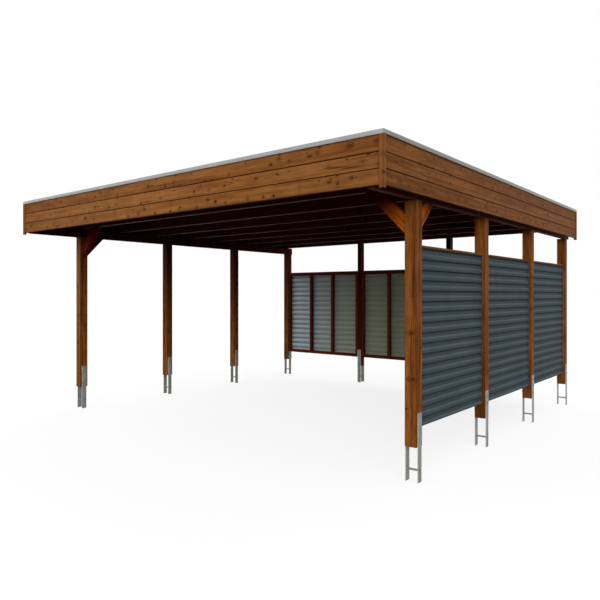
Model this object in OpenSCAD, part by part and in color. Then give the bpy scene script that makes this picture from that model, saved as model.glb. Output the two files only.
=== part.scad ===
// Double carport with a flat roof: an open timber frame on steel anchors,
// with the right side and the rear closed by framed panels of profiled sheet.
// The origin is under the middle of the roof, level with the feet of the
// anchors. +X is to the right as one drives in, +Y is to the rear, +Z is up.

/* [Roof edge] */
// Width over the side edge trims
roof_w = 6000; // [5400:50:6600]
// Depth over the front and rear edge trims
roof_d = 6000; // [5800:50:6600]
// Bottom of the fascia boards
fascia_z = 2636; // [2610:1:2700]
// Height of one fascia board
board_h = 137; // [120:1:150]
// Thickness of the fascia boards
board_t = 24; // [18:1:30]
// Leg of the corner strips
strip_leg = 45; // [30:1:60]
// How far the corner strips hang below the boards
strip_drop = 25; // [0:1:25]
// Visible height of the edge trim
trim_h = 43; // [30:1:60]
// Width of the edge trim's top flange
trim_w = 62; // [50:1:90]

/* [Posts and beams] */
// Side of the square posts
post_s = 120; // [100:5:140]
// Width of the two rear posts between the corners
rear_post_w = 80; // [60:5:120]
// Bottom of the posts
post_z = 330; // [280:5:380]
// Top of the side posts, where the beams lie
post_top = 2620; // [2500:5:2620]
// Width of the side beams
beam_w = 60; // [45:5:120]
// Height of the side beams
beam_h = 130; // [120:5:160]
// Gap from the roof's side edges to the posts
side_gap = 114; // [90:1:200]
// Gap from the front edge to the front posts
front_gap = 778; // [600:1:900]
// Distance between the posts of a side row
bay = 1657; // [1600:1:1700]

/* [Rafters and roof] */
// Thickness of a rafter
rafter_w = 60; // [45:5:80]
// Height of a rafter
rafter_h = 180; // [140:5:190]
// Height of the roof sheets' ribs
roof_rib_h = 35; // [20:1:45]
// Distance between the roof sheets' ribs
roof_pitch = 207; // [150:1:250]

/* [Braces] */
// Width of the brace boards
brace_w = 130; // [100:5:150]
// Thickness of the brace boards
brace_t = 60; // [40:5:80]
// Leg of the braces across the front, along their lower edge
front_leg = 450; // [350:10:500]
// Leg of the braces along the side beams, along their lower edge
side_leg = 300; // [220:10:400]

/* [Wall panels] */
// Bottom of the panels
panel_z = 500; // [400:5:600]
// Top of the panels
panel_top = 2210; // [2000:5:2300]
// Width of the frame timbers
frame_w = 60; // [45:5:80]
// Depth of the frame timbers
frame_t = 60; // [45:5:70]
// From the left end of a rear panel, seen from the front, to its first inner stud
rear_stud_first = 584; // [500:1:620]
// Distance between the inner studs of a rear panel
rear_stud_pitch = 546; // [500:1:600]
// Height of a wave of the wall sheets
wave_pitch = 100; // [80:1:120]
// Depth of a wave of the wall sheets
wave_t = 18; // [10:1:22]
// How far the wall sheets lie behind the posts' outer faces
sheet_recess = 30; // [20:1:35]

/* [Anchors] */
// Width of an anchor's flats
flat_w = 75; // [60:1:80]
// Thickness of an anchor's flats
flat_t = 6; // [5:1:8]
// Length of an anchor's flats
flat_h = 645; // [560:5:700]
// Height of the crossbar's axis over the feet
bar_z = 112; // [80:1:160]
// Diameter of the crossbar
bar_d = 20; // [16:1:25]

/* [Hidden] */
// Timber lies this far inside the roof's outline, behind the trim and strips
inset = 12;
// Wall thickness of the bent sheet
roof_sheet_t = 2;
wall_sheet_t = 2;
trim_t = 4;
// The shadow gap between two boards
groove_w = 8;
groove_d = 9;
// The sheet ends this far below the top of its frame, under the cap board
sheet_lip = 22;
cap_h = 20;
cap_over = 3;

half_w = roof_w / 2;
half_d = roof_d / 2;
board_face_x = half_w - inset;
board_face_y = half_d - inset;
deck_x = board_face_x - board_t;
deck_y = board_face_y - board_t;
trim_z = fascia_z + 3 * board_h;
roof_top = trim_z + trim_h;
board_top = roof_top - trim_t;
rafter_z = post_top + beam_h;
deck_z = rafter_z + rafter_h;

// Post rows: outer faces of the side posts and front faces of each row
row_x = half_w - side_gap;
row_mid_x = row_x - post_s / 2;
function row_y(i) = front_gap - half_d + i * bay;
row_back_y = row_y(3) + post_s;
row_mid_y = row_y(3) + post_s / 2;
side_clear = bay - post_s;
rear_clear = (2 * (row_x - post_s) - 2 * rear_post_w) / 3;
function rear_post_x(i) = (2 * i - 1) * (rear_clear + rear_post_w) / 2;

// Rafters: the first lies behind the front fascia, the second and the last
// lie over the front and the rear posts, and the others share that distance
rafter_gap = (row_y(3) - row_y(0)) / 7;
function rafter_y(i) = i == 0
    ? -deck_y
    : row_y(0) + (post_s - rafter_w) / 2 + (i - 1) * rafter_gap;

// Wall panels: the outer faces of the frames, which the sheets are fixed to
frame_x = row_x - sheet_recess - wave_t;
frame_y = row_back_y - sheet_recess - wave_t;
sheet_h = panel_top - sheet_lip - panel_z;

// Colours of the stained timber, the bare steel and the coated sheet
stain = [0.47, 0.31, 0.18];
stain_dark = [0.30, 0.17, 0.10];
zinc = [0.55, 0.56, 0.55];
anthracite = [0.24, 0.27, 0.30];
trim_grey = [0.68, 0.70, 0.71];

// ---- posts and anchors ----

// A side post; side is 1 on the right and -1 on the left
module side_post(side, i) {
    color(stain)
        translate([side * row_mid_x - post_s / 2, row_y(i), post_z])
            cube([post_s, post_s, post_top - post_z]);
}

// A rear post runs on up to the last rafter
module rear_post(i) {
    color(stain)
        translate([rear_post_x(i) - rear_post_w / 2, row_y(3), post_z])
            cube([rear_post_w, post_s, rafter_z - post_z]);
}

// Two flats beside a post, joined by a round bar near their feet;
// the flats stand on the faces that look along X
module anchor() {
    for (s = [-1, 1])
        translate([s * (post_s + flat_t) / 2 - flat_t / 2, -flat_w / 2, 0])
            cube([flat_t, flat_w, flat_h]);
    translate([-post_s / 2 - flat_t / 2, 0, bar_z])
        rotate([0, 90, 0])
            cylinder(d = bar_d, h = post_s + flat_t, $fn = 32);
}

module side_anchors(side) {
    color(zinc)
        for (i = [0:3])
            translate([side * row_mid_x, row_y(i) + post_s / 2, 0])
                anchor();
}

module rear_anchors() {
    color(zinc)
        for (i = [0:1])
            translate([rear_post_x(i), row_mid_y, 0])
                rotate([0, 0, 90])
                    anchor();
}

// ---- beams, rafters and braces ----

// A side beam lies on the posts, level with their outer faces
module beam(side) {
    color(stain_dark)
        translate([side * (row_x - beam_w / 2) - beam_w / 2, -deck_y, post_top])
            cube([beam_w, 2 * deck_y, beam_h]);
}

module rafter(i) {
    color(stain_dark)
        translate([-deck_x, rafter_y(i), rafter_z])
            cube([2 * deck_x, rafter_w, rafter_h]);
}

// A board at 45 degrees between a post's face and the timber above it, drawn
// in the XZ plane with the corner of the two at the origin
module brace(leg) {
    step = brace_w * sqrt(2);
    translate([0, brace_t / 2, 0])
        rotate([90, 0, 0])
            linear_extrude(height = brace_t)
                polygon([[0, -leg], [leg, 0], [leg - step, 0], [0, step - leg]]);
}

// The two braces of a front post: one across to the second rafter and one
// back along the beam
module braces(side) {
    color(stain)
        translate([side * row_mid_x, row_y(0) + post_s / 2, 0]) {
            translate([-side * post_s / 2, 0, rafter_z])
                rotate([0, 0, side > 0 ? 180 : 0])
                    brace(front_leg);
            translate([0, post_s / 2, post_top])
                rotate([0, 0, 90])
                    brace(side_leg);
        }
}

// ---- roof edge ----

// Outline of boards one above the other, with a shadow gap between them,
// face to the right at x = 0 and count boards down from the top
module board_outline(count) {
    low = trim_z - count * board_h;
    gaps = [for (k = [1:count - 1]) low + k * board_h];
    polygon(concat(
        [[-board_t, board_top], [-board_t, low], [0, low]],
        [for (z = gaps) each [
            [0, z - groove_w / 2],
            [-groove_d, z],
            [0, z + groove_w / 2]
        ]],
        [[0, board_top]]
    ));
}

// Boards of the given length along Y, with their face at x
module boards(x, length, count) {
    translate([x, length / 2, 0])
        rotate([90, 0, 0])
            linear_extrude(height = length)
                board_outline(count);
}

module side_fascia(side) {
    color(stain)
        rotate([0, 0, side > 0 ? 0 : 180])
            boards(board_face_x, 2 * board_face_y, 3);
}

// The front boards lie between the side boards
module front_fascia() {
    color(stain)
        rotate([0, 0, -90])
            boards(board_face_y, 2 * deck_x, 3);
}

// The rear has one board less, so that no board hangs below the rafters
module rear_fascia() {
    color(stain)
        rotate([0, 0, 90])
            boards(board_face_y, 2 * deck_x, 2);
}

// An angle strip over each corner of the boards
module corner_strips() {
    color(stain)
        for (sx = [-1, 1], sy = [-1, 1])
            scale([sx, sy, 1])
                translate([0, 0, fascia_z - strip_drop])
                    linear_extrude(height = 3 * board_h + strip_drop)
                        strip_outline();
}

module strip_outline() {
    polygon([
        [half_w, half_d],
        [half_w - strip_leg, half_d],
        [half_w - strip_leg, board_face_y],
        [board_face_x, board_face_y],
        [board_face_x, half_d - strip_leg],
        [half_w, half_d - strip_leg]
    ]);
}

// A bent sheet-metal cap over the boards all round: a top flange and a drop
module edge_trim() {
    color(trim_grey) {
        translate([0, 0, roof_top - trim_t])
            linear_extrude(height = trim_t)
                trim_ring(trim_w);
        translate([0, 0, trim_z])
            linear_extrude(height = trim_h - trim_t)
                trim_ring(trim_t);
    }
}

module trim_ring(width) {
    difference() {
        square([roof_w, roof_d], center = true);
        square([roof_w - 2 * width, roof_d - 2 * width], center = true);
    }
}

// ---- bent sheets ----

// One wave as points [along, out]: a flat, a flank up, a crest and a flank down
function wave_points(start, pitch, depth, flat, flank) = [
    [start, 0],
    [start + flat, 0],
    [start + flat + flank, depth],
    [start + pitch - flank, depth]
];

// A band of constant thickness that follows waves from 0 to length
module wave_band(length, pitch, depth, flat, flank, thick, first) {
    count = floor((length - first) / pitch);
    crests = [for (k = [0:count - 1])
        each wave_points(first + k * pitch, pitch, depth, flat, flank)];
    last = first + count * pitch;
    line = concat([[0, depth], [first - flank, depth]], crests,
        [[last, 0], [min(last + flat, length), 0]],
        last + flat + flank < length
            ? [[last + flat + flank, depth], [length, depth]]
            : []);
    under = [for (k = [len(line) - 1:-1:0]) [line[k][0], line[k][1] - thick]];
    polygon(concat(line, under));
}

// Roof sheet: broad pans with narrow ribs that run from front to rear
module roof_sheet() {
    rib = 40;
    slope = 20;
    pan = roof_pitch - rib - 2 * slope;
    ribs = floor(2 * deck_x / roof_pitch);
    color(anthracite)
        translate([-deck_x, deck_y, deck_z + roof_sheet_t])
            rotate([90, 0, 0])
                linear_extrude(height = 2 * deck_y)
                    wave_band(2 * deck_x, roof_pitch, roof_rib_h, pan, slope,
                        roof_sheet_t, (2 * deck_x - ribs * roof_pitch + rib) / 2);
}

// A wall sheet of the given length along Y, waves one above the other,
// with its crests looking to +X and its back at x = 0
module wall_sheet(length) {
    groove = 38;
    flank = 12;
    first = 30;
    translate([0, length / 2, 0])
        rotate([90, 0, 0])
            linear_extrude(height = length)
                mirror([1, -1])
                    translate([0, wall_sheet_t])
                        wave_band(sheet_h, wave_pitch, wave_t - wall_sheet_t,
                            groove, flank, wall_sheet_t, first);
}

// ---- wall panels ----

// A frame of the given clear width along Y, with its outer face at x = 0: two
// edge studs, two rails, studs at the given starts and a cap over the sheet
module frame(length, studs) {
    cap = [frame_t + wave_t + cap_over, length, cap_h];
    translate([-frame_t, -length / 2, panel_top - cap_h])
        cube(cap);
    translate([-frame_t, -length / 2, panel_z]) {
        for (z = [0, panel_top - panel_z - frame_w])
            translate([0, 0, z])
                cube([frame_t, length, frame_w]);
        for (y = concat([0, length - frame_w], studs))
            translate([0, y, 0])
                cube([frame_t, frame_w, panel_top - panel_z]);
    }
}

module at_side_bay(i) {
    translate([frame_x, row_y(i) + post_s + side_clear / 2, 0])
        children();
}

module at_rear_bay(i) {
    translate([(i - 1) * (rear_clear + rear_post_w), frame_y, 0])
        rotate([0, 0, 90])
            children();
}

module side_frame(i) {
    third = side_clear / 3;
    color(stain)
        at_side_bay(i)
            frame(side_clear, [third - frame_w / 2, 2 * third - frame_w / 2]);
}

module side_sheet(i) {
    color(anthracite)
        at_side_bay(i)
            translate([0, 0, panel_z])
                wall_sheet(side_clear);
}

module rear_frame(i) {
    far = rear_clear - frame_w;
    color(stain)
        at_rear_bay(i)
            frame(rear_clear, [far - rear_stud_first, far - rear_stud_first - rear_stud_pitch]);
}

module rear_sheet(i) {
    color(anthracite)
        at_rear_bay(i)
            translate([0, 0, panel_z])
                wall_sheet(rear_clear);
}

side_post(1, 0);  // right_post_1
side_post(1, 1);  // right_post_2
side_post(1, 2);  // right_post_3
side_post(1, 3);  // right_post_4
side_post(-1, 0);  // left_post_1
side_post(-1, 1);  // left_post_2
side_post(-1, 2);  // left_post_3
side_post(-1, 3);  // left_post_4
rear_post(0);  // rear_post_left
rear_post(1);  // rear_post_right
side_anchors(1);  // right_anchors
side_anchors(-1);  // left_anchors
rear_anchors();
beam(1);  // right_beam
beam(-1);  // left_beam
rafter(0);  // rafter_1
rafter(1);  // rafter_2
rafter(2);  // rafter_3
rafter(3);  // rafter_4
rafter(4);  // rafter_5
rafter(5);  // rafter_6
rafter(6);  // rafter_7
rafter(7);  // rafter_8
rafter(8);  // rafter_9
braces(1);  // right_braces
braces(-1);  // left_braces
front_fascia();
rear_fascia();
side_fascia(1);  // right_fascia
side_fascia(-1);  // left_fascia
corner_strips();
edge_trim();
roof_sheet();
side_frame(0);  // side_frame_1
side_frame(1);  // side_frame_2
side_frame(2);  // side_frame_3
side_sheet(0);  // side_sheet_1
side_sheet(1);  // side_sheet_2
side_sheet(2);  // side_sheet_3
rear_frame(0);  // rear_frame_1
rear_frame(1);  // rear_frame_2
rear_frame(2);  // rear_frame_3
rear_sheet(0);  // rear_sheet_1
rear_sheet(1);  // rear_sheet_2
rear_sheet(2);  // rear_sheet_3
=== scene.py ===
"""Double carport: a stained timber frame on steel anchors, with a boarded roof edge and panels of sheet."""

import math
import random

import bmesh
import bpy
from mathutils import Matrix, Vector, noise

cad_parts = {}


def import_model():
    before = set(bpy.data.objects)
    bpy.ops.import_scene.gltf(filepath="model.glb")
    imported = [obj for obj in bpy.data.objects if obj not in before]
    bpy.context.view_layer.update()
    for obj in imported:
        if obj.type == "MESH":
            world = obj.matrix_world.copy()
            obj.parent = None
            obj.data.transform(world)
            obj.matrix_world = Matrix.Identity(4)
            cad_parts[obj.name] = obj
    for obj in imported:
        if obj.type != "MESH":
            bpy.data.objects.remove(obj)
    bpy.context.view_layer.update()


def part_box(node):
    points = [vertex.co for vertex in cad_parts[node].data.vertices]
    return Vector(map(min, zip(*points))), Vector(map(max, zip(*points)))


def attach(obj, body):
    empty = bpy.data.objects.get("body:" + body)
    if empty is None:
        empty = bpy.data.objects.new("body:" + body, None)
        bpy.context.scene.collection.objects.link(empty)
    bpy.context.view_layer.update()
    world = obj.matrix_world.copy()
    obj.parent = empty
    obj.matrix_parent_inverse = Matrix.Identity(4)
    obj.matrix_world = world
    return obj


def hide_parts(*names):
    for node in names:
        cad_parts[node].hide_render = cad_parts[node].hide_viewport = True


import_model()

# Everything is in metres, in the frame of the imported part.
AXES = {"x": 0, "y": 1, "z": 2}

# Timber
SKIN = 0.0006  # planed faces lie this far inside the box of the timber at most
EDGE = 0.0025  # chamfer of a post, beam or rafter
THIN_EDGE = 0.0020  # chamfer of frame timbers
STAIN_EDGE = -0.55  # stain pools along the arrises
STAIN_BAND = 0.006  # how far that reaches over a face
STATION = 0.13  # distance between the cross-sections of a timber

# Roof edge
BOARD_HEIGHT = 0.137
BOARD_V = 0.005  # half width of the V between two boards
BOARD_V_DEPTH = 0.009
BOARD_SCREWS = (0.032, 0.104)  # heights of the screws over the lower edge of a board
SCREW_SPACING = {"x": 0.62, "y": 0.71}
STRIP_LEG = 0.045
STRIP_THICK = 0.012
STRIP_SCREWS = (0.045, 0.17, 0.30, 0.40)
TRIM_WIDTH = 0.062
PLATE_LENGTH = 0.10

# Braces
BRACE_WIDTH = 0.130
BRACE_THICK = 0.060

# Wall panels
FRAME_WIDTH = 0.060
FRAME_DEPTH = 0.060
CAP_HEIGHT = 0.020
REAR_STUDS = (0.584, 1.130)  # from the left end of a rear panel, seen from the front
JOINT = 0.006  # width of the sealing strip between a wall sheet and a post

# Wall sheet: one wave is a groove, a flank, a crest and a flank
WAVE_PITCH = 0.100
WAVE_GROOVE = 0.038
WAVE_FLANK = 0.012
WAVE_DEPTH = 0.018
WAVE_FIRST = 0.030
WALL_SCREW_ROWS = 3  # one row of screws in every third groove

# Roof sheet: pans between ribs
RIB_PITCH = 0.207
RIB_TOP = 0.040
RIB_SLOPE = 0.020
RIB_HEIGHT = 0.035

SHEET = 0.0012
SHEET_SEAT = SHEET + 0.0006  # the outside of a wall sheet's grooves over the frame

# Anchors
FLAT_WIDTH = 0.075
FLAT_THICK = 0.006
BAR_HEIGHT = 0.112
BAR_RADIUS = 0.010
BOLT_HEIGHTS = (0.415, 0.505, 0.595)


def srgb(red, green, blue):
    """A display colour of 0 to 255 as linear RGBA."""
    shares = [c / 255 for c in (red, green, blue)]
    linear = [c / 12.92 if c < 0.04 else ((c + 0.055) / 1.055) ** 2.4 for c in shares]
    return (*linear, 1.0)


# ---- materials ----


class Shader:
    """A node material, put together one call at a time. Calls return output sockets."""

    def __init__(self, name, **constants):
        self.material = bpy.data.materials.new(name)
        self.material.use_nodes = True
        self.tree = self.material.node_tree
        self.surface = next(n for n in self.tree.nodes if n.type == "BSDF_PRINCIPLED")
        for socket, value in constants.items():
            self.surface.inputs[socket.replace("_", " ")].default_value = value

    def feed(self, socket, value):
        if isinstance(value, bpy.types.NodeSocket):
            self.tree.links.new(value, socket)
        else:
            socket.default_value = value

    def put(self, kind, inputs=None, **settings):
        node = self.tree.nodes.new("ShaderNode" + kind)
        for name, value in settings.items():
            setattr(node, name, value)
        for socket, value in (inputs or {}).items():
            self.feed(node.inputs[socket], value)
        return node

    def value(self, name):
        return self.put("Attribute", attribute_name=name).outputs["Fac"]

    def vector(self, name):
        return self.put("Attribute", attribute_name=name).outputs["Vector"]

    def place(self):
        return self.put("TexCoord").outputs["Object"]

    def calc(self, operation, *values, clamp=False):
        inputs = dict(enumerate(values))
        return self.put("Math", inputs, operation=operation, use_clamp=clamp).outputs[0]

    def vcalc(self, operation, *values):
        return self.put("VectorMath", dict(enumerate(values)), operation=operation).outputs[0]

    def parts(self, vector):
        return self.put("SeparateXYZ", {0: vector}).outputs

    def join(self, x, y, z):
        return self.put("CombineXYZ", {0: x, 1: y, 2: z}).outputs[0]

    def noise(self, vector, stretch=(1, 1, 1), scale=1.0, detail=2.0, rough=0.5, output="Fac"):
        stretched = self.vcalc("MULTIPLY", vector, stretch)
        inputs = {"Vector": stretched, "Scale": scale, "Detail": detail, "Roughness": rough}
        return self.put("TexNoise", inputs).outputs[output]

    def cells(self, vector, scale, dimensions="3D"):
        inputs = {"Vector": vector, "Scale": scale}
        return self.put("TexVoronoi", inputs, voronoi_dimensions=dimensions).outputs

    def span(self, value, low, high):
        """0 at low and 1 at high, with a smooth step between them."""
        return self.put("MapRange", {0: value, 1: low, 2: high}, interpolation_type="SMOOTHSTEP").outputs[0]

    def line(self, value, low, high, to_low, to_high):
        """to_low at low and to_high at high, and a straight line between them."""
        return self.put("MapRange", {0: value, 1: low, 2: high, 3: to_low, 4: to_high}).outputs[0]

    def mix(self, factor, first, second, mode="MIX"):
        node = self.put("Mix", data_type="RGBA", blend_type=mode)
        for socket, value in ((0, factor), (6, first), (7, second)):
            self.feed(node.inputs[socket], value)
        return node.outputs[2]

    def finish(self, colour, rough, height, depth, metal=None):
        """Joins colour, roughness and a bump of the given depth in metres to the surface."""
        self.feed(self.surface.inputs["Base Color"], colour)
        self.feed(self.surface.inputs["Roughness"], rough)
        if metal is not None:
            self.feed(self.surface.inputs["Metallic"], metal)
        bump = self.put("Bump", {"Strength": 1.0, "Distance": depth, "Height": height})
        self.feed(self.surface.inputs["Normal"], bump.outputs[0])
        return self.material


def timber_material(
    name, pale, deep, knot, knots=1.0, knot_cell=0.13, knot_size=1.0, checks=0.5, figure=1.0, under=None
):
    """Stained softwood, cut from a log: rings, fibres, knots and drying checks run through it.
    The grain attribute is a point's place in its log, along the log and across it from the pith.
    The tone attribute goes from deep at 0 to pale at 1, and below 0 to under, a dark red painted shade; along
    some timbers it is set to paint light and shade."""
    s = Shader(name, Specular_IOR_Level=0.02)
    grain, tone, wear = s.vector("grain"), s.value("tone"), s.value("wear")

    # Knots: branches that run out from the pith, so they widen with the distance from it
    sway = s.vcalc("SUBTRACT", s.noise(grain, (9, 9, 9), detail=2, output="Color"), (0.5, 0.5, 0.5))
    swayed = s.vcalc("ADD", grain, s.vcalc("MULTIPLY", sway, (0.04, 0.025, 0.0)))
    along, across, through = s.parts(swayed)
    angle = s.calc("ARCTANGENT", s.calc("DIVIDE", across, through))
    unrolled = s.join(s.calc("MULTIPLY", along, 0.85), s.calc("MULTIPLY", angle, 0.085), 0.0)
    found = s.cells(unrolled, 1 / knot_cell, "2D")
    chance, size, dark = s.parts(found["Color"])
    radius = s.line(s.calc("MULTIPLY", size, size), 0, 1, 0.07 * knot_size, 0.2 * knot_size)
    reach = s.calc("DIVIDE", found["Distance"], radius)
    there = s.calc("GREATER_THAN", chance, 1 - 0.8 * knots)
    core = s.calc("MULTIPLY", s.span(reach, 1.25, 0.5), there)
    halo = s.calc("MULTIPLY", s.span(reach, 2.8, 0.8), there)
    core = s.calc("MULTIPLY", core, s.line(dark, 0.1, 0.9, 0.25, 1.0))

    # Growth rings round the pith, pushed aside by the knots
    bend = s.vcalc("SUBTRACT", s.noise(grain, (0.8, 4, 4), detail=2, output="Color"), (0.5, 0.5, 0.5))
    bent = s.vcalc("ADD", grain, s.vcalc("MULTIPLY", bend, (0.0, 0.05, 0.05)))
    along, across, through = s.parts(bent)
    ring = s.calc("ADD", s.calc("MULTIPLY", across, across), s.calc("MULTIPLY", through, through))
    ring = s.calc("SQRT", ring)
    ring = s.calc("ADD", ring, s.calc("MULTIPLY", halo, 0.011))
    slow = s.calc("MULTIPLY", along, 0.25)
    wide = s.noise(s.join(slow, ring, 0.0), (1, 55, 1), detail=3, rough=0.6)
    latewood = s.calc("SINE", s.calc("ADD", s.calc("MULTIPLY", ring, 1450), s.calc("MULTIPLY", wide, 14)))
    latewood = s.span(latewood, 0.1, 1.0)

    # Colour
    blotch = s.noise(grain, (3.5, 13, 13), detail=3, rough=0.6)
    warm = s.noise(grain, (0.9, 4, 4), detail=1)
    fibre = s.noise(grain, (9, 420, 420), detail=2, rough=0.7)
    share = s.line(wide, 0.3, 0.7, 0.37 - 0.26 * figure, 0.37 + 0.26 * figure)
    share = s.calc("ADD", share, s.line(blotch, 0.25, 0.75, -0.22 * figure, 0.22 * figure))
    share = s.calc("ADD", share, s.line(tone, -1, 2, -0.66, 0.66))
    share = s.calc("ADD", share, s.line(fibre, 0.3, 0.7, -0.06, 0.06))
    share = s.calc("SUBTRACT", share, s.calc("MULTIPLY", latewood, 0.11), clamp=True)
    colour = s.mix(share, deep, pale)
    # Tone below 0 paints shade: the colour goes towards the dark red painted shade colour.
    colour = s.mix(s.line(tone, -1.0, 0.0, 0.8, 0.0), colour, under or deep)
    warmer = s.mix(1.0, colour, (1.12, 0.92, 0.78, 1), "MULTIPLY")
    colour = s.mix(s.line(warm, 0.35, 0.65, 0.0, 0.3), colour, warmer)
    colour = s.mix(s.calc("MULTIPLY", halo, 0.3), colour, s.mix(0.5, deep, knot))
    colour = s.mix(core, colour, knot)

    # Drying checks, and wear and pooled stain at edges
    split = s.calc("ABSOLUTE", s.calc("SUBTRACT", s.noise(grain, (0.45, 42, 42), detail=1), 0.5))
    zone = s.span(s.noise(grain, (0.7, 7, 7), detail=1), 0.66 - 0.16 * checks, 0.74 - 0.16 * checks)
    check = s.calc("MULTIPLY", s.span(split, 0.05, 0.015), zone)
    colour = s.mix(s.calc("MULTIPLY", check, 0.75), colour, knot)
    rub = s.line(s.noise(grain, (14, 60, 60), detail=3), 0.35, 0.65, 0.0, 0.3)
    rub = s.calc("MULTIPLY", s.span(wear, 0.35, 1.0), rub)
    colour = s.mix(rub, colour, s.mix(0.1, pale, (1.0, 0.8, 0.55, 1)))
    colour = s.mix(s.calc("MULTIPLY", s.span(wear, 0.0, -1.0), 0.85), colour, knot)

    rough = s.calc("ADD", s.line(blotch, 0.2, 0.8, 0.5, 0.68), s.calc("MULTIPLY", core, -0.12))
    height = s.calc("ADD", s.calc("MULTIPLY", latewood, 0.3), s.calc("MULTIPLY", fibre, 0.35))
    height = s.calc("ADD", height, s.calc("MULTIPLY", core, 0.4))
    height = s.calc("SUBTRACT", height, s.calc("MULTIPLY", check, 1.6))
    return s.finish(colour, rough, height, 0.0007)


def sheet_material(name, face, back, shaded_back, dust):
    """Coil-coated steel: face colour outside, primer on the back, dust in broad patches and runs. The tone
    attribute mixes the back from its pale primer to the olive shaded_back, as painted shade, and wear lightens
    where it is above 0, as dust and painted highlight, and darkens where it is below, as dirt and painted
    shade."""
    s = Shader(name, Specular_IOR_Level=0.015)
    place, reverse, wear = s.place(), s.value("reverse"), s.value("wear")
    cloud = s.noise(place, (1, 1, 2), scale=2.2, detail=4, rough=0.6)
    runs = s.noise(place, (9, 9, 0.7), detail=3, rough=0.55)
    speck = s.noise(place, scale=260, detail=2)
    front = s.mix(s.line(cloud, 0.3, 0.7, 0.0, 0.08), face, dust)
    front = s.mix(s.line(runs, 0.45, 0.75, 0.0, 0.03), front, dust)
    # The tone mixes the back towards the shaded olive colour, as painted shade.
    primer = s.mix(s.value("tone"), back, shaded_back)
    rear = s.mix(s.line(cloud, 0.3, 0.7, 0.0, 0.15), primer, s.mix(0.35, primer, dust))
    rear = s.mix(s.line(runs, 0.5, 0.8, 0.0, 0.2), rear, s.mix(0.5, primer, (0.09, 0.08, 0.07, 1)))
    colour = s.mix(reverse, front, rear)
    colour = s.mix(s.line(speck, 0.45, 0.8, 0.0, 0.06), colour, dust)
    # Wear below 0 darkens, as dirt and painted shade; above 0 it lightens, as dust and painted highlight.
    colour = s.mix(s.calc("MULTIPLY", s.span(wear, 0.0, -1.0), 0.65), colour, srgb(20, 23, 25))
    dusted_and_highlit = s.mix(1.0, colour, (1.9, 1.82, 1.75, 1), "MULTIPLY")
    colour = s.mix(s.span(wear, 0.0, 1.0), colour, dusted_and_highlit)
    rough = s.calc("ADD", s.line(cloud, 0.25, 0.75, 0.50, 0.64), s.line(speck, 0.3, 0.7, -0.03, 0.03))
    height = s.calc("ADD", s.noise(place, scale=700, detail=1), s.calc("MULTIPLY", cloud, 2.0))
    return s.finish(colour, rough, height, 0.00012)


def steel_material(name, pale, deep, spangle=0.013, metal=0.25):
    """Hot-dip galvanised steel: spangle, dull patches and streaks."""
    s = Shader(name, Specular_IOR_Level=0.5)
    place, wear = s.place(), s.value("wear")
    flower = s.parts(s.cells(place, 1 / spangle)["Color"])[0]
    cloud = s.noise(place, scale=14, detail=4, rough=0.65)
    streak = s.noise(place, (60, 60, 4), detail=2)
    share = s.calc("ADD", s.line(flower, 0, 1, 0.1, 0.6), s.line(cloud, 0.3, 0.7, -0.25, 0.35))
    share = s.calc("SUBTRACT", share, s.line(streak, 0.5, 0.75, 0.0, 0.3), clamp=True)
    colour = s.mix(share, deep, pale)
    colour = s.mix(s.calc("MULTIPLY", s.span(wear, 0.4, 1.0), 0.4), colour, (0.72, 0.72, 0.70, 1))
    rough = s.calc("ADD", s.line(flower, 0, 1, 0.42, 0.56), s.line(cloud, 0.3, 0.7, -0.05, 0.08))
    height = s.calc("ADD", s.calc("MULTIPLY", flower, 0.3), cloud)
    return s.finish(colour, rough, height, 0.0004, s.line(flower, 0, 1, metal - 0.1, metal + 0.1))


def trim_material(name, pale, deep):
    """Mill-finish metal capping, rolled lengthwise, with faint water marks. The tone attribute is painted
    light and shade: each side gets its own tone, lighter where it faces the light."""
    s = Shader(name, Specular_IOR_Level=0.2)
    place, tone, wear = s.place(), s.value("tone"), s.value("wear")
    cloud = s.noise(place, scale=3.1, detail=5, rough=0.65)
    marks = s.noise(place, (6, 6, 30), detail=3)
    rolled = s.noise(place, (3, 3, 900), detail=1)
    share = s.calc("ADD", s.line(cloud, 0.3, 0.7, -0.12, 0.12), s.line(marks, 0.4, 0.7, 0.03, -0.09))
    share = s.calc("ADD", share, tone, clamp=True)
    colour = s.mix(share, deep, pale)
    colour = s.mix(s.calc("MULTIPLY", s.span(wear, 0.4, 1.0), 0.12), colour, (0.75, 0.76, 0.77, 1))
    rough = s.calc("ADD", s.line(cloud, 0.3, 0.7, 0.34, 0.5), s.line(rolled, 0.3, 0.7, -0.03, 0.03))
    return s.finish(colour, rough, s.calc("ADD", rolled, cloud), 0.0001, s.line(cloud, 0.3, 0.7, 0.08, 0.2))


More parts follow.
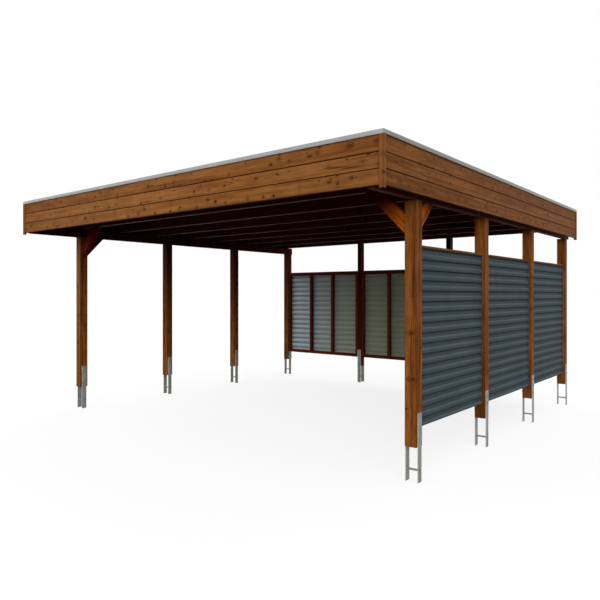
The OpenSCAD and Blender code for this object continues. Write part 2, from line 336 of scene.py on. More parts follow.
DARK_KNOT, RED_KNOT = srgb(62, 31, 9), srgb(34, 9, 4)
# Dark red painted shade for timber under the roof, reached where the tone falls below 0.
PAINTED_ROOF_SHADE = srgb(42, 8, 4)
PALE_BACK, SHADED_BACK, SHADED_ROOF_BACK = srgb(176, 190, 199), srgb(146, 146, 124), srgb(84, 90, 92)
DUST = srgb(128, 131, 130)
MATERIALS = {
    "boards": timber_material(
        "stained_boards", srgb(154, 102, 54), srgb(98, 57, 25), DARK_KNOT, checks=0.2, figure=1.2
    ),
    "posts": timber_material(
        "stained_posts", srgb(148, 93, 40), srgb(88, 42, 11), DARK_KNOT, 0.6, knot_size=0.7, checks=0.9,
        figure=1.7, under=PAINTED_ROOF_SHADE,
    ),
    # The deep red end of the braces' stain serves as painted shade at their tops.
    "braces": timber_material(
        "stained_braces", srgb(198, 104, 28), srgb(98, 12, 4), RED_KNOT, 0.3, figure=0.15
    ),
    # A darker, redder copy of the posts' stain, as painted shade under the roof: used for the panel frames,
    # the rear posts and the rear cap boards.
    "frames": timber_material(
        "stained_frames_painted_shade", srgb(108, 48, 22), srgb(70, 22, 8), RED_KNOT, 0.7, 0.11, under=PAINTED_ROOF_SHADE
    ),
    # A darker, redder copy of the stain for beams and rafters, as painted shade under the roof.
    "roof": timber_material("stained_roof_timber_painted_shade", srgb(98, 45, 31), srgb(62, 21, 12), RED_KNOT, 0.7),
    "wall": sheet_material("coated_wall_sheet", srgb(53, 64, 69), PALE_BACK, SHADED_BACK, DUST),
    # The roof sheet's back is a much darker grey than the wall sheets' back, as painted shade under the roof.
    "roofing": sheet_material("coated_roof_sheet", srgb(66, 73, 78), SHADED_ROOF_BACK, SHADED_ROOF_BACK, DUST),
    "trim": trim_material("edge_metal", srgb(160, 160, 159), srgb(110, 109, 105)),
    "zinc": steel_material("galvanised_steel", srgb(153, 154, 146), srgb(110, 111, 105)),
    "screws": steel_material("screw_steel", srgb(170, 170, 165), srgb(110, 110, 106), 0.004, 0.5),
    "bronze": steel_material("bronze_screws", srgb(112, 76, 44), srgb(78, 50, 28), 0.004, 0.1),
}


# ---- meshes ----


def rounded(line, radius, steps=3):
    """An open line of 2D points with its corners rounded."""
    line = [Vector(p) for p in line]
    out = [line[0]]
    for before, at, after in zip(line, line[1:], line[2:]):
        a, b = (before - at), (after - at)
        if a.length < 1e-9 or b.length < 1e-9 or a.normalized().dot(b.normalized()) < -0.9999:
            out.append(at)
            continue
        cut = min(radius, a.length * 0.45, b.length * 0.45)
        start, end = at + a.normalized() * cut, at + b.normalized() * cut
        for k in range(steps + 1):
            t = k / steps
            out.append(start * (1 - t) ** 2 + at * 2 * t * (1 - t) + end * t * t)
    out.append(line[-1])
    return out


def offset(line, distance):
    """An open 2D line moved sideways by distance, to its left."""
    moved = []
    for k, p in enumerate(line):
        a, b = line[max(k - 1, 0)], line[min(k + 1, len(line) - 1)]
        along = (b - a).normalized()
        moved.append(p + Vector((-along.y, along.x)) * distance)
    return moved


class Piece:
    """Collects the mesh of one visible piece and the values that its material reads at each point."""

    def __init__(self, seed):
        self.random = random.Random(seed)
        self.points, self.faces = [], []
        self.values = {"grain": [], "wear": [], "tone": [], "reverse": []}

    def add(self, point, grain=(0, 0, 0), wear=0.0, tone=0.5, reverse=0.0):
        self.points.append(tuple(point))
        self.values["grain"].append(tuple(grain))
        for name, value in (("wear", wear), ("tone", tone), ("reverse", reverse)):
            self.values[name].append(value)

    def skin(self, first, rings, size):
        """Faces between closed rings that were added one after the other, and an end face at each end."""
        for i in range(rings - 1):
            for j in range(size):
                a, b = first + i * size + j, first + i * size + (j + 1) % size
                self.faces.append((a, b, b + size, a + size))
        last = first + (rings - 1) * size
        self.faces.append(tuple(range(first, first + size))[::-1])
        self.faces.append(tuple(range(last, last + size)))

    def timber(self, place, length, outline, slopes=(0.0, 0.0), tone=None, pith=None):
        """A timber from a cross-section. place takes x along the timber and y, z across it. Each end is cut
        at a slant, its slope times y. The faces are slightly uneven, and the ends are eased. tone is one
        value, or a value for each end."""
        rnd = self.random
        shift = rnd.uniform(-60, 60)
        tone = rnd.random() if tone is None else tone
        tones = tone if isinstance(tone, tuple) else (tone, tone)
        clear = max(z for _, z, _ in outline) + 0.03
        pith = pith or (rnd.uniform(-0.05, 0.05), rnd.choice((-1, 1)) * rnd.uniform(clear, clear + 0.05))
        count = max(3, round(length / STATION))
        ease = 0.0025
        spots = [0.0, ease, *(length * k / count for k in range(1, count)), length - ease, length]
        first = len(self.points)
        for spot in spots:
            at_end = spot in (0.0, length)
            t = spot / length
            for y, z, wear in outline:
                x = spot + slopes[0] * y * (1 - t) + slopes[1] * y * t
                dent = SKIN * (0.5 + 0.5 * noise.noise(Vector((x * 2.3 + shift, y * 19, z * 19))))
                squeeze = 1 - (dent + (ease if at_end else 0)) / max(abs(y), abs(z), 0.012)
                point = place @ Vector((x, y * squeeze, z * squeeze))
                grain = (x + shift, y - pith[0], z - pith[1])
                self.add(point, grain, wear, tones[0] * (1 - t) + tones[1] * t)
        self.skin(first, len(spots), len(outline))

    def box_timber(self, low, high, axis, edge=EDGE, tone=None):
        """A timber that fills the box from low to high, with its grain along the named axis."""
        a = AXES[axis]
        b, c = [k for k in range(3) if k != a]
        size = high - low
        place = Matrix.Identity(4)
        for column, k in enumerate((a, b, c)):
            direction = Vector((0, 0, 0))
            direction[k] = 1
            place.col[column] = (*direction, 0)
        start = (low + high) / 2
        start[a] = low[a]
        place.translation = start
        self.timber(place, size[a], square_outline(size[b], size[c], edge), tone=tone)

    def band(self, line, thick, place, length, stations, ripple=0.0, wear_and_shade=None, tones=(0.5, 0.5)):
        """Bent sheet: a line of 2D points given a thickness and drawn out along y. Its left side is the back.
        wear_and_shade gives the wear at the start and at the end of each line of points round the band, as
        dust and dirt that also paint light and shade, and tones gives the tone there."""
        back = offset(line, thick)
        ring = [(p, 0.0) for p in line] + [(p, 1.0) for p in reversed(back)]
        ends = {0, len(line) - 1, len(line), len(ring) - 1}
        seed = self.random.uniform(-50, 50)
        first = len(self.points)
        for k in range(stations + 1):
            t = k / stations
            rim = k in (0, stations)
            for j, (p, reverse) in enumerate(ring):
                wave = ripple * noise.noise(Vector((p.x * 3 + seed, length * t * 3, 0)))
                if wear_and_shade:
                    wear = wear_and_shade[j][0] * (1 - t) + wear_and_shade[j][1] * t
                else:
                    wear = 1.0 if j in ends or rim else 0.0
                tone = tones[0] * (1 - t) + tones[1] * t
                self.add(place @ Vector((p.x, length * t, p.y + wave)), wear=wear, tone=tone, reverse=reverse)
        self.skin(first, stations + 1, len(ring))

    def turned(self, centre, direction, profile, sides, turn=0.0):
        """A turned or hexagonal part from (radius, height) pairs, standing on centre."""
        place = Matrix.Translation(centre) @ Vector(direction).to_track_quat("Z", "Y").to_matrix().to_4x4()
        first = len(self.points)
        for radius, height in profile:
            for k in range(sides):
                angle = turn + 2 * math.pi * k / sides
                point = place @ Vector((radius * math.cos(angle), radius * math.sin(angle), height))
                self.add(point, wear=0.5)
        self.skin(first, len(profile), sides)

    def screw(self, centre, direction, radius=0.0042):
        """A countersunk screw head with its driver recess."""
        r = radius
        profile = [(r * 0.7, -0.002), (r, 0.0), (r * 0.93, 0.0008), (r * 0.5, 0.001), (r * 0.42, -0.0006)]
        self.turned(centre, direction, profile, 12, self.random.uniform(0, 1))

    def hex_screw(self, centre, direction):
        """A sheet screw: sealing washer, flange and hexagon head."""
        d = Vector(direction)
        size = 0.0052
        self.turned(centre, d, [(0.0075, -0.0006), (0.0078, 0.0006), (0.0068, 0.0018)], 16)
        turn = self.random.uniform(0, 1)
        self.turned(centre + d * 0.0016, d, [(size, 0.0), (size, 0.0040), (size * 0.82, 0.0050)], 6, turn)

    def bolt(self, centre, direction, length):
        """A hexagon bolt head or nut on its washer."""
        d = Vector(direction)
        size = 0.0105
        washer = [(0.0145, 0.0), (0.0150, 0.0005), (0.0150, 0.0020), (0.0143, 0.0025)]
        self.turned(centre, d, washer, 24)
        hexagon = [(size * 0.92, 0.0), (size, 0.0008), (size, length - 0.0012), (size * 0.86, length)]
        self.turned(centre + d * 0.0025, d, hexagon, 6, self.random.uniform(0, 1))

    def build(self, name, material, slot, nodes=(), smooth=35):
        """Makes the object, gives it its material and ties it to the frame."""
        mesh = bpy.data.meshes.new(name)
        mesh.from_pydata(self.points, [], self.faces)
        work = bmesh.new()
        work.from_mesh(mesh)
        bmesh.ops.recalc_face_normals(work, faces=work.faces)
        work.to_mesh(mesh)
        work.free()
        for key in ("wear", "tone", "reverse"):
            mesh.attributes.new(key, "FLOAT", "POINT").data.foreach_set("value", self.values[key])
        flat = [c for v in self.values["grain"] for c in v]
        mesh.attributes.new("grain", "FLOAT_VECTOR", "POINT").data.foreach_set("vector", flat)
        mesh.materials.append(MATERIALS[material])
        mesh.shade_smooth()
        mesh.set_sharp_from_angle(angle=math.radians(smooth))
        piece = bpy.data.objects.new(name, mesh)
        bpy.context.scene.collection.objects.link(piece)
        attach(piece, "root")
        if nodes:
            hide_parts(*nodes)
        return piece


def square_outline(width, height, edge):
    """Cross-section of a chamfered timber as (y, z, wear), with points beside the chamfers where the stain
    that has pooled there ends."""
    half = (width / 2, height / 2)
    corners = []
    for side in range(4):
        h, other = half[side % 2], half[(side + 1) % 2]
        inner = min(STAIN_BAND, (h - edge) * 0.5)
        arris, clear = h - edge, h - edge - inner
        for y, wear in ((-arris, STAIN_EDGE), (-clear, 0.0), (0, 0.0), (clear, 0.0), (arris, STAIN_EDGE)):
            z = -other
            corners.append([(y, z), (-z, y), (-y, -z), (z, -y)][side] + (wear,))
    return corners


def board_outline(height, thick):
    """Cross-section of a fascia board, face at +z: the V at its edges is dark, as pooled stain and painted
    shade in the groove.
    """
    h, t = height / 2, thick / 2
    side = [
        (-h + 0.0004, -t + 0.001, -1.0),
        (-h + 0.0004, t - BOARD_V_DEPTH, -1.0),
        (-h + BOARD_V - 0.0016, t - 0.0022, -0.8),
        (-h + BOARD_V, t - 0.0004, -0.25),
        (-h + BOARD_V + 0.006, t, 0.1),
        (-h + BOARD_V + 0.022, t, 0.0),
        (-0.25 * h, t - 0.0002, 0.0),
    ]
    return side + [(-y, z, wear) for y, z, wear in reversed(side)]


# ---- timber frame ----


def box(node):
    low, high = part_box(node)
    return low.copy(), high.copy()


def numbered(name, count):
    return [f"{name}_{k}" for k in range(1, count + 1)]


POSTS = numbered("right_post", 4) + numbered("left_post", 4) + ["rear_post_left", "rear_post_right"]
# At the foot and at the top. The left and rear posts are painted darker towards their tops, as painted shade
# under the roof, and the left posts paler at the foot, as painted light.
POST_TONES_AND_PAINTED_SHADE = {
    "right_post_1": (0.45, 0.8),
    "left_post_1": (0.7, 0.5),
    "left_post_2": (1.3, -0.9),
    "left_post_3": (1.1, -1.0),
    "left_post_4": (0.95, -0.3),
    "rear_post_left": (0.3, -1.0),
    "rear_post_right": (0.3, -1.0),
}
for order, name in enumerate(POSTS):
    piece = Piece(120 + order)
    piece.box_timber(*box(name), "z", tone=POST_TONES_AND_PAINTED_SHADE.get(name, 0.6))
    piece.build(name + "_timber", "frames" if name.startswith("rear") else "posts", "post_timber", [name])

for order, name in enumerate(["right_beam", "left_beam"]):
    piece = Piece(200 + order)
    piece.box_timber(*box(name), "y")
    piece.build(name + "_timber", "roof", "roof_timber", [name])

for order, name in enumerate(numbered("rafter", 9)):
    piece = Piece(300 + order)
    piece.box_timber(*box(name), "x")
    piece.build(name + "_timber", "roof", "roof_timber", [name])


def brace(piece, corner, out, up, leg, tone):
    """A mitred 45 degree board in the corner of a post and the timber above it. out is the direction from the
    post along that timber, and leg is how far along both the brace's lower edge starts."""
    inner = leg - BRACE_WIDTH * math.sqrt(2)
    along = (out + up).normalized()
    across = (out - up).normalized()
    middle_leg = (leg + inner) / 2
    foot = corner - up * middle_leg
    length = middle_leg * math.sqrt(2)
    side = along.cross(across)
    place = Matrix.Identity(4)
    for column, direction in enumerate((along, across, side)):
        place.col[column] = (*direction, 0)
    place.translation = foot
    piece.timber(place, length, square_outline(BRACE_WIDTH, BRACE_THICK, EDGE), slopes=(-1.0, 1.0), tone=tone)


def braces(name, post, beam):
    """The cross brace and the long brace of a front post, with screws in their lower edges."""
    low, high = box(post)
    beam_high = box(beam)[1]
    brace_low, brace_high = box(name)
    side = 1 if low.x > 0 else -1
    inner = Vector((low.x if side > 0 else high.x, (low.y + high.y) / 2, beam_high.z))
    back = Vector(((low.x + high.x) / 2, high.y, high.z))
    up = Vector((0, 0, 1))
    piece, heads = Piece(400 + side), Piece(420 + side)
    for corner, out, leg, tone in (
        # Tones at the foot and at the top: the braces are painted darker towards their tops, as painted shade
        # under the roof, and the left ones darker overall, as painted shade.
        (inner, Vector((-side, 0, 0)), beam_high.z - brace_low.z, (1.9, -1.0) if side > 0 else (-0.1, -0.5)),
        (back, Vector((0, 1, 0)), brace_high.y - high.y, (1.6, 0.1) if side > 0 else (-0.1, -0.5)),
    ):
        brace(piece, corner, out, up, leg, tone)
        for share in (0.16, 0.84):
            spot = corner - up * leg * (1 - share) + out * leg * share
            heads.screw(spot - (out - up).normalized() * 0.0008, (out - up).normalized(), 0.0055)
    piece.build(name + "_timber", "braces", "post_timber", [name])
    heads.build(name + "_screws", "bronze", "galvanised_steel", smooth=30)


braces("right_braces", "right_post_1", "right_beam")
braces("left_braces", "left_post_1", "left_beam")


# ---- boarded roof edge ----


def fascia(name, normal, order, tones):
    """Boards one above the other with V joints, screwed to the timbers behind."""
    low, high = box(name)
    n = Vector(normal)
    run_name = "x" if abs(n.y) > 0.5 else "y"
    run = AXES[run_name]
    deep = 1 - run
    length = high[run] - low[run]
    thick = high[deep] - low[deep]
    face = high[deep] if n[deep] > 0 else low[deep]
    count = round((high.z - low.z) / BOARD_HEIGHT)
    piece = Piece(500 + order)
    heads = Piece(520 + order)
    up = Vector((0, 0, 1))
    for k in range(count):
        bottom = low.z + k * BOARD_HEIGHT
        top = high.z if k == count - 1 else bottom + BOARD_HEIGHT
        place = Matrix.Identity(4)
        for column, direction in enumerate((up.cross(n), up, n)):
            place.col[column] = (*direction, 0)
        start = Vector((0, 0, (bottom + top) / 2))
        start[deep] = face - n[deep] * thick / 2
        start[run] = low[run] if up.cross(n)[run] > 0 else high[run]
        place.translation = start
        pith = (piece.random.uniform(-0.04, 0.04), -piece.random.uniform(0.018, 0.05))
        tone = piece.random.uniform(*tones)
        piece.timber(place, length, board_outline(top - bottom, thick), tone=tone, pith=pith)
        spacing = SCREW_SPACING[run_name]
        screws = int((length - 0.2) / spacing)
        for s in range(screws + 1):
            along_run = low[run] + (length - screws * spacing) / 2 + s * spacing
            for z in BOARD_SCREWS:
                spot = Vector((0, 0, bottom + z + heads.random.uniform(-0.003, 0.003)))
                spot[deep] = face - n[deep] * 0.0012
                spot[run] = along_run + heads.random.uniform(-0.004, 0.004)
                heads.screw(spot, n)
    piece.build(name + "_boards", "boards", "fascia_boards", [name])
    heads.build(name + "_screws", "bronze", "galvanised_steel", smooth=30)


# Each side's range of tones: random within it, with the front highest and the right side lowest, as painted
# light and painted shade.
for order, (name, normal, tones) in enumerate(
    [
        ("front_fascia", (0, -1, 0), (0.4, 0.9)),
        ("rear_fascia", (0, 1, 0), (0.2, 0.7)),
        ("right_fascia", (1, 0, 0), (0.0, 0.35)),
        ("left_fascia", (-1, 0, 0), (0.2, 0.7)),
    ]
):
    fascia(name, normal, order, tones)


def corner_strips():
    """An L-shaped strip of timber over each corner of the boards."""
    low, high = box("corner_strips")
    leg, thick, edge = STRIP_LEG, STRIP_THICK, EDGE
    ring = [
        (0, edge, -0.3),
        (edge, 0, -0.3),
        (leg * 0.5, 0, 0.0),
        (leg - edge, 0, -0.3),
        (leg, edge, -0.3),
        (leg, thick, -0.8),
        (thick, thick, -0.8),
        (thick, leg, -0.8),
        (edge, leg, -0.3),
        (0, leg - edge, -0.3),
        (0, leg * 0.5, 0.0),
    ]
    piece = Piece(602)
    heads = Piece(610)
    for sx in (-1, 1):
        for sy in (-1, 1):
            first = len(piece.points)
            shift = piece.random.uniform(-40, 40)
            count = 8
            tone = piece.random.uniform(0.65, 0.9)
            spots = [0.0, 0.002, *(k / count * (high.z - low.z) for k in range(1, count)), high.z - low.z]
            for spot in spots:
                pull = 0.0015 if spot == 0.0 else 0.0
                for a, b, wear in ring:
                    x = high.x - 0.0004 - a - (pull if a < thick else -pull)
                    y = high.y - 0.0004 - b - (pull if b < thick else -pull)
                    grain = (spot + shift, a - 0.03, b + 0.05)
                    piece.add((sx * x, sy * y, low.z + spot), grain, wear, tone)
            piece.skin(first, len(spots), len(ring))
            sunk, beside, radius = 0.0014, 0.030, 0.003
            for z in STRIP_SCREWS:
                spot = Vector((sx * (high.x - sunk), sy * (high.y - beside), low.z + z))
                heads.screw(spot, (sx, 0, 0), radius)
                spot = Vector((sx * (high.x - beside), sy * (high.y - sunk), low.z + z))
                heads.screw(spot, (0, sy, 0), radius)
    piece.build("corner_strips_timber", "boards", "fascia_boards", ["corner_strips"])
    heads.build("corner_strips_screws", "bronze", "galvanised_steel", smooth=30)


corner_strips()


def edge_trim():
    """Metal capping over the boards: four mitred lengths with a sloped top and a drip edge, and cover plates
    over their joints."""
    low, high = box("edge_trim")
    width = TRIM_WIDTH
    drop = high.z - low.z
    # x is how far in from the roof's edge, y is the height over the lower edge
    line = rounded(
        [
            (0.0062, 0.0035),
            (0.0020, 0.0012),
            (0.0006, 0.0090),
            (0.0010, drop - 0.0016),
            (width - 0.002, drop - 0.0035),
            (width - 0.001, drop - 0.0150),
        ],
        0.003,
        3,
    )
    ring = [(p, 0.0) for p in line] + [(p, 1.0) for p in reversed(offset(line, -SHEET))]
    piece = Piece(700)
    # A tone for each side: the front lightest and the right side darkest, as painted light and shade.
    tones = {(1, 0): 0.25, (0, 1): 0.5, (-1, 0): 0.55, (0, -1): 0.75}
    corners = [(1, -1), (1, 1), (-1, 1), (-1, -1)]
    for (ax, ay), (bx, by) in zip(corners, corners[1:] + corners[:1]):
        tone = tones[(ax + bx) // 2, (ay + by) // 2]
        first = len(piece.points)
        stations = 24
        gap = 0.0006
        for k in range(stations + 1):
            t = k / stations
            for j, (p, reverse) in enumerate(ring):
                start = Vector((ax * (high.x - p.x), ay * (high.y - p.x), low.z + p.y))
                end = Vector((bx * (high.x - p.x), by * (high.y - p.x), low.z + p.y))
                run = (end - start).normalized()
                point = (start + run * gap).lerp(end - run * gap, t)
                point.z += 0.0004 * noise.noise(point * 2.1)
                edge = 1.0 if j in (0, 1, len(line) - 1) or k in (0, stations) else 0.0
                piece.add(point, wear=edge, tone=tone, reverse=reverse)
        piece.skin(first, stations + 1, len(ring))
    plate = rounded([(0.0002, 0.004), (0.0004, drop - 0.0008), (width - 0.003, drop - 0.0022)], 0.003, 3)
    for (sx, sy), tone in tones.items():
        for centre in (-1.0, 1.0):
            turn = Matrix.Rotation(math.atan2(sy, sx), 4, "Z")
            shift = Matrix.Translation((high.x, centre - PLATE_LENGTH / 2, low.z))
            place = turn @ shift @ Matrix.Scale(-1, 4, (1, 0, 0))
            piece.band(plate, -0.0006, place, PLATE_LENGTH, 3, tones=(tone, tone))
    piece.build("edge_trim_metal", "trim", "edge_trim", ["edge_trim"], smooth=30)


edge_trim()


# ---- bent sheets ----


def wave_line(length, pitch, depth, flat, flank, first, thick):
    """The outer line of a bent sheet as (along, out) points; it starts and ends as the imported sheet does."""
    count = int((length - first) / pitch)
    line = [(0.0, depth), (first - flank, depth)]
    for k in range(count):
        start = first + k * pitch
        line += [(start, thick), (start + flat, thick)]
        line += [(start + flat + flank, depth), (start + pitch - flank, depth)]
    last = first + count * pitch
    line += [(last, thick), (min(last + flat, length), thick)]
    if last + flat + flank < length:
        line += [(last + flat + flank, depth), (length, depth)]
    return line


def roof_sheet():
    """Trapezoidal roofing with screws over every rafter."""
    low, high = box("roof_sheet")
    width, length = high.x - low.x, high.y - low.y
    ribs = int(width / RIB_PITCH)
    first = (width - ribs * RIB_PITCH + RIB_TOP) / 2
    pan = RIB_PITCH - RIB_TOP - 2 * RIB_SLOPE
    line = wave_line(width, RIB_PITCH, RIB_HEIGHT, pan, RIB_SLOPE, first, 0.0)
    piece = Piece(800)
    place = Matrix.Translation((low.x, low.y, high.z - RIB_HEIGHT - 0.0004))
    piece.band(rounded(line, 0.005, 2), -SHEET, place, length, 40, ripple=0.0003)
    piece.build("roof_sheet_metal", "roofing", "roof_sheet", ["roof_sheet"], smooth=30)
    heads = Piece(810)
    for rafter in numbered("rafter", 9):
        rafter_low, rafter_high = box(rafter)
        y = max((rafter_low.y + rafter_high.y) / 2, low.y + 0.03)
        for k in range(ribs):
            x = low.x + first + pan / 2 + k * RIB_PITCH
            if x < high.x - 0.02:
                heads.hex_screw(Vector((x, y, high.z - RIB_HEIGHT)), (0, 0, 1))
    heads.build("roof_sheet_screws", "screws", "galvanised_steel", smooth=30)


roof_sheet()


def dust_dirt_and_painted_shade(line, back_shading):
    """The wear round a wall sheet at its start and its end. Outside there is dust on the upper half of each
    crest and on the flank above it, which also paints light, dirt on the flank below it, which also paints
    shade, and painted shadow below the cap board. Inside, the near flats are painted light and the recessed
    ones painted shade, most of all where the back is pale, and each flank is lighter or darker by its slope."""
    outside, inside = [], []
    for k, p in enumerate(line):
        before, after = line[max(k - 1, 0)], line[min(k + 1, len(line) - 1)]
        slope = (after - before).normalized().y
        dust = -0.7 * slope if slope < 0 else -slope
        if before.y >= p.y > after.y and p.y > WAVE_DEPTH * 0.9:
            dust = max(dust, 0.4)
        # Painted shadow below the cap board.
        if p.x > line[-1].x - 0.012:
            dust = -0.9
        outside.append((dust, dust))
        # Inside: painted light on the near flats and painted shade in the recessed ones, scaled by the back's
        # shading.
        inside.append(tuple((0.35 - 0.9 * p.y / WAVE_DEPTH) * (1.1 - shading) + 0.35 * slope for shading in back_shading))
    return outside + inside[::-1]


def wall_panel(kind, number):
    """A timber frame with its cap board, the sheet on its outer face with its screws, and a sealing strip at
    each end."""
    frame_name, sheet_name = f"{kind}_frame_{number}", f"{kind}_sheet_{number}"
    low, high = box(frame_name)
    sheet_low, sheet_high = box(sheet_name)
    out, run = (AXES["x"], AXES["y"]) if kind == "side" else (AXES["y"], AXES["x"])
    run_name = "y" if kind == "side" else "x"
    length = high[run] - low[run]
    back_face = low[out] + FRAME_DEPTH

    def corner(run_value, out_value, z):
        point = Vector((0, 0, z))
        point[run], point[out] = run_value, out_value
        return point

    if kind == "side":
        studs = [length / 3 - FRAME_WIDTH / 2, 2 * length / 3 - FRAME_WIDTH / 2]
    else:
        studs = REAR_STUDS
    studs = [0.0, *sorted(studs), length - FRAME_WIDTH]
    piece = Piece(900 + number + (10 if kind == "rear" else 0))
    rail_top = high.z - CAP_HEIGHT
    for bottom in (low.z, rail_top - FRAME_WIDTH + CAP_HEIGHT / 2):
        top = min(bottom + FRAME_WIDTH, rail_top)
        start, end = corner(low[run], low[out], bottom), corner(high[run], back_face, top)
        piece.box_timber(start, end, run_name, THIN_EDGE)
    for stud in studs:
        start = low[run] + stud
        piece.box_timber(
            corner(start, low[out] + 0.0006, low.z + FRAME_WIDTH),
            corner(start + FRAME_WIDTH, back_face - 0.0006, rail_top - FRAME_WIDTH + CAP_HEIGHT / 2),
            "z",
            THIN_EDGE,
        )
    piece.build(frame_name + "_timber", "frames", "panel_timber", [frame_name])
    piece = Piece(915 + number + (10 if kind == "rear" else 0))
    cap_low, cap_high = corner(low[run], low[out], rail_top), corner(high[run], high[out], high.z)
    piece.box_timber(cap_low, cap_high, run_name, THIN_EDGE)
    # Side cap boards take the posts' stain, rear ones the darker copy that is painted shade.
    piece.build(frame_name + "_cap", "posts" if kind == "side" else "frames", "panel_timber")

    # The sheet: z upwards is the line's x, outwards is the line's y
    sheet_height = sheet_high.z - sheet_low.z
    depth = WAVE_DEPTH - 0.0004
    line = wave_line(sheet_height, WAVE_PITCH, depth, WAVE_GROOVE, WAVE_FLANK, WAVE_FIRST, SHEET_SEAT)
    place = Matrix.Identity(4)
    up, along, outward = Vector((0, 0, 1)), Vector((0, 0, 0)), Vector((0, 0, 0))
    along[run], outward[out] = 1, 1
    for column, direction in enumerate((up, along, outward)):
        place.col[column] = (*direction, 0)
    place.translation = corner(low[run] + JOINT, sheet_low[out], sheet_low.z)
    piece = Piece(930 + number + (10 if kind == "rear" else 0))
    line = rounded(line, 0.0035, 3)
    # The backs of the rear sheets are painted from pale near the open side to the shaded olive towards the
    # right, as painted light and shade
    back_shading = [(0.0, 0.9), (0.9, 1.0), (1.0, 1.0)][number - 1] if kind == "rear" else (0.9, 0.9)
    wear_and_shade = dust_dirt_and_painted_shade(line, back_shading)
    piece.band(line, -SHEET, place, length - 2 * JOINT, 14, ripple=0.0004, wear_and_shade=wear_and_shade, tones=back_shading)
    # Sealing strips, darkened a little as painted shade in the joint between sheet and post.
    strip = [(-JOINT / 2 + 0.0005, -WAVE_DEPTH / 2), (JOINT / 2 - 0.0005, -WAVE_DEPTH / 2)]
    strip += [(JOINT / 2 - 0.0005, WAVE_DEPTH / 2 - 0.001), (-JOINT / 2 + 0.0005, WAVE_DEPTH / 2 - 0.001)]
    for end in (low[run] + JOINT / 2, high[run] - JOINT / 2):
        first = len(piece.points)
        middle = corner(end, (sheet_low[out] + sheet_high[out]) / 2, 0)
        for z in (sheet_low.z + 0.001, sheet_high.z):
            for a, b in strip:
                piece.add(middle + along * a + outward * b + up * z, wear=-0.3)
        piece.skin(first, 2, len(strip))
    piece.build(sheet_name + "_metal", "wall", "wall_sheet", [sheet_name], smooth=30)

    heads = Piece(960 + number + (10 if kind == "rear" else 0))
    waves = int((sheet_height - WAVE_FIRST) / WAVE_PITCH)
    for stud in studs:
        for k in range(waves + 1):
            end_row = k in (0, waves)
            if not end_row and k % WALL_SCREW_ROWS:
                continue
            z = sheet_low.z + WAVE_FIRST + WAVE_GROOVE / 2 + k * WAVE_PITCH
            if z > sheet_high.z - 0.008:
                continue
            across = low[run] + stud + FRAME_WIDTH / 2 + heads.random.uniform(-0.008, 0.008)
            heads.hex_screw(corner(across, sheet_low[out] + SHEET_SEAT, z), outward)
    heads.build(sheet_name + "_screws", "wall", "wall_sheet", smooth=30)


for kind in ("side", "rear"):
    for number in (1, 2, 3):
        wall_panel(kind, number)


# ---- anchors ----


def flat_bar(piece, low, high, thin):
    """A flat of hot-rolled steel with rounded long edges and sheared ends."""
    size = high - low
    wide = 1 - thin
    w, t = size[wide] / 2, size[thin] / 2
    r = 0.0016
    ring = [(-w + r, -t), (-w * 0.5, -t), (0, -t), (w * 0.5, -t), (w - r, -t), (w, -t + r), (w, t - r)]
    ring += [(-a, -b) for a, b in ring]
    centre = (low + high) / 2
    count = 10
    first = len(piece.points)
    spots = [0.0, 0.0012, *(size.z * k / count for k in range(1, count)), size.z - 0.0012, size.z]
    for spot in spots:
        pull = 0.0010 if spot in (0.0, size.z) else 0.0
        for a, b in ring:
            point = Vector((0, 0, low.z + spot))
            point[wide] = centre[wide] + a - math.copysign(min(pull, abs(a)), a)
            point[thin] = centre[thin] + b - math.copysign(pull, b)
            wear = 1.0 if abs(a) > w - 2 * r or pull else 0.0
            piece.add(point, wear=wear)
    piece.skin(first, len(spots), len(ring))


def anchors(name, posts, thin, seed):
    """Two flats per post on opposite faces, a bar between them near the foot, bolts through the post and
    welds."""
    low, high = box(name)
    steel, bolts = Piece(seed), Piece(seed + 1)
    for post in posts:
        post_low, post_high = box(post)
        wide = 1 - thin
        middle = (post_low + post_high) / 2
        half = (post_high[thin] - post_low[thin]) / 2
        for side in (-1, 1):
            flat_low, flat_high = Vector((0, 0, low.z)), Vector((0, 0, high.z))
            flat_low[wide], flat_high[wide] = middle[wide] - FLAT_WIDTH / 2, middle[wide] + FLAT_WIDTH / 2
            near = middle[thin] + side * half
            flat_low[thin], flat_high[thin] = sorted((near, near + side * FLAT_THICK))
            flat_bar(steel, flat_low, flat_high, thin)
            outward, inward = Vector((0, 0, 0)), Vector((0, 0, 0))
            outward[thin], inward[thin] = side, -side
            outer = near + side * FLAT_THICK
            for k, z in enumerate(BOLT_HEIGHTS):
                spot = Vector((0, 0, z))
                spot[thin] = outer - side * 0.0003
                spot[wide] = middle[wide] + (0.012 if k % 2 else -0.012)
                bolts.bolt(spot, outward, length=0.008 if side > 0 else 0.0095)
            weld = Vector((0, 0, BAR_HEIGHT))
            weld[wide], weld[thin] = middle[wide], near
            r = BAR_RADIUS
            bead = [(r + 0.0055, -0.0005), (r + 0.0050, 0.0016), (r + 0.0028, 0.0042), (r - 0.0008, 0.0062)]
            steel.turned(weld, inward, bead, 20)
            # The bar's end, ground flush on the outer face
            weld[thin] = outer - side * 0.0004
            steel.turned(weld, outward, [(r, -0.002), (r - 0.0004, 0.0003), (r - 0.002, 0.0004)], 20)
        start = Vector((0, 0, BAR_HEIGHT))
        start[wide], start[thin] = middle[wide], middle[thin] - half
        direction = Vector((0, 0, 0))
        direction[thin] = 1
        reach = 2 * half
        steps = 8
        steel.turned(start, direction, [(BAR_RADIUS, reach * k / steps) for k in range(steps + 1)], 24)
    steel.build(name + "_steel", "zinc", "galvanised_steel", [name], smooth=35)
    bolts.build(name + "_bolts", "screws", "galvanised_steel", smooth=30)


anchors("right_anchors", numbered("right_post", 4), AXES["x"], 1000)
anchors("left_anchors", numbered("left_post", 4), AXES["x"], 1010)
anchors("rear_anchors", ["rear_post_left", "rear_post_right"], AXES["y"], 1020)


# ---- stage, light and camera ----


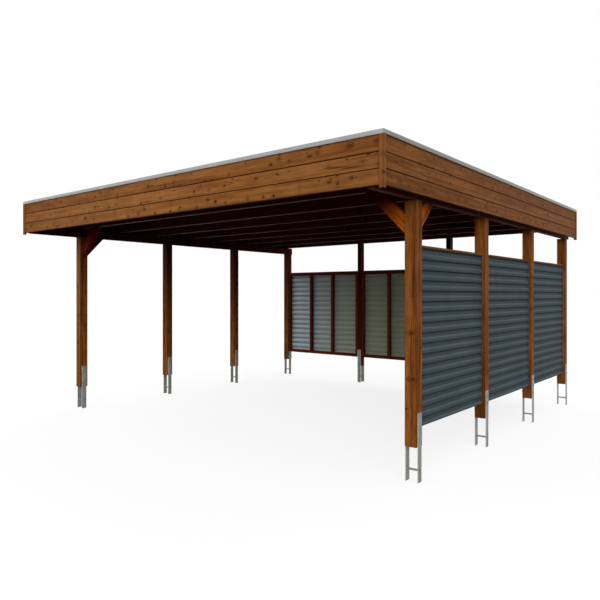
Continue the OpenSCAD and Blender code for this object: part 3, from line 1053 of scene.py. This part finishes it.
def floor():
    """A large pale floor. It is white to the camera and in reflections, where most of the white is its own,
    so that the shadow on it stays faint. To other light it is darker, and returns little from below."""
    mesh = bpy.data.meshes.new("floor")
    reach = 90
    corners = [(-reach, -reach, 0), (reach, -reach, 0), (reach, reach, 0), (-reach, reach, 0)]
    mesh.from_pydata(corners, [], [(0, 1, 2, 3)])
    plane = bpy.data.objects.new("floor", mesh)
    bpy.context.scene.collection.objects.link(plane)
    s = Shader("pale_floor", Roughness=0.9, Specular_IOR_Level=0.0)
    path = s.put("LightPath").outputs
    seen = s.calc("MAXIMUM", path["Is Camera Ray"], path["Is Glossy Ray"])
    seen = s.calc("MAXIMUM", seen, path["Is Transmission Ray"])
    own = 0.82
    s.feed(s.surface.inputs["Base Color"], s.mix(seen, (0.08, 0.08, 0.08, 1), (*[1 - own] * 3, 1)))
    s.surface.inputs["Emission Color"].default_value = (1, 1, 1, 1)
    s.feed(s.surface.inputs["Emission Strength"], s.calc("MULTIPLY", seen, own))
    mesh.materials.append(s.material)


def world(level):
    """White where it is seen or reflected, and an even grey light otherwise."""
    sky = bpy.data.worlds.new("studio")
    bpy.context.scene.world = sky
    sky.use_nodes = True
    tree = sky.node_tree
    back = next(n for n in tree.nodes if n.type == "BACKGROUND")
    path = tree.nodes.new("ShaderNodeLightPath")
    seen = path.outputs["Is Camera Ray"]
    for name in ("Is Glossy Ray", "Is Transmission Ray"):
        either = tree.nodes.new("ShaderNodeMath")
        either.operation = "MAXIMUM"
        tree.links.new(seen, either.inputs[0])
        tree.links.new(path.outputs[name], either.inputs[1])
        seen = either.outputs[0]
    strength = tree.nodes.new("ShaderNodeMapRange")
    strength.inputs["To Min"].default_value = level
    strength.inputs["To Max"].default_value = 1.0
    tree.links.new(seen, strength.inputs["Value"])
    tree.links.new(strength.outputs[0], back.inputs["Strength"])
    back.inputs["Color"].default_value = (1, 1, 1, 1)


def sun(name, towards, strength, spread):
    """A broad soft lamp; towards is the direction from the object to the lamp."""
    lamp = bpy.data.lights.new(name, "SUN")
    lamp.energy, lamp.angle = strength, math.radians(spread)
    holder = bpy.data.objects.new(name, lamp)
    bpy.context.scene.collection.objects.link(holder)
    holder.rotation_euler = Vector(towards).to_track_quat("Z", "Y").to_euler()


floor()
world(0.74)
sun("key", (0.56, -0.70, 0.32), 2.3, 50)
sun("fill", (-0.80, -0.45, 0.30), 0.8, 70)
sun("rear", (-0.35, 0.85, 0.45), 1.3, 80)

camera = bpy.data.cameras.new("camera")
camera.sensor_width = 36
camera.lens = 35.363
camera.shift_x, camera.shift_y = 0.01475, -0.00985
camera.clip_end = 400
holder = bpy.data.objects.new("camera", camera)
bpy.context.scene.collection.objects.link(holder)
holder.location = (5.4362, -7.1425, 1.7483)
holder.rotation_euler = (math.radians(90), 0, math.radians(39.375))
bpy.context.scene.camera = holder
bpy.context.scene.view_settings.view_transform = "Standard"
